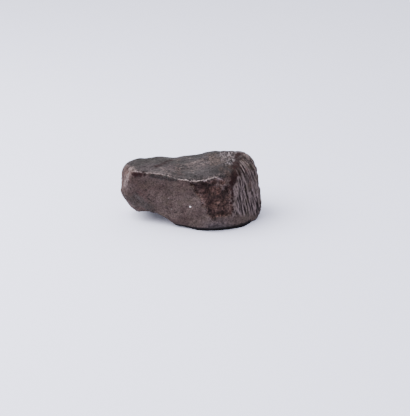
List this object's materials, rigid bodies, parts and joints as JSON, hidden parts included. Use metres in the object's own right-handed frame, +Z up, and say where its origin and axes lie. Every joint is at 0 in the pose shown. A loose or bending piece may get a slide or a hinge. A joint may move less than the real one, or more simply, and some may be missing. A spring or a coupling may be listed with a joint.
{
  "type": "chondrite meteorite",
  "caption": "Hand-sized stony meteorite: a worn brown-grey block with a saddle over its top, a fresh break in front, a ridged end and a flat foot.",
  "frame": {"origin": "middle of the stone's box in plan, at the level of its flat foot", "axes": "+X along the stone's length towards its ridged end, -Y out of its brown front face, +Z up"},
  "size_m": [0.061, 0.035, 0.0268],
  "materials": {
    "chondrite_stone": "dull worn stone, brown on the broken faces, violet-grey and satin on the weathered top, with a few bright metal flecks"
  },
  "bodies": {
    "root": {"chondrite_stone": "chondrite_stone"}
  },
  "joints": []
}
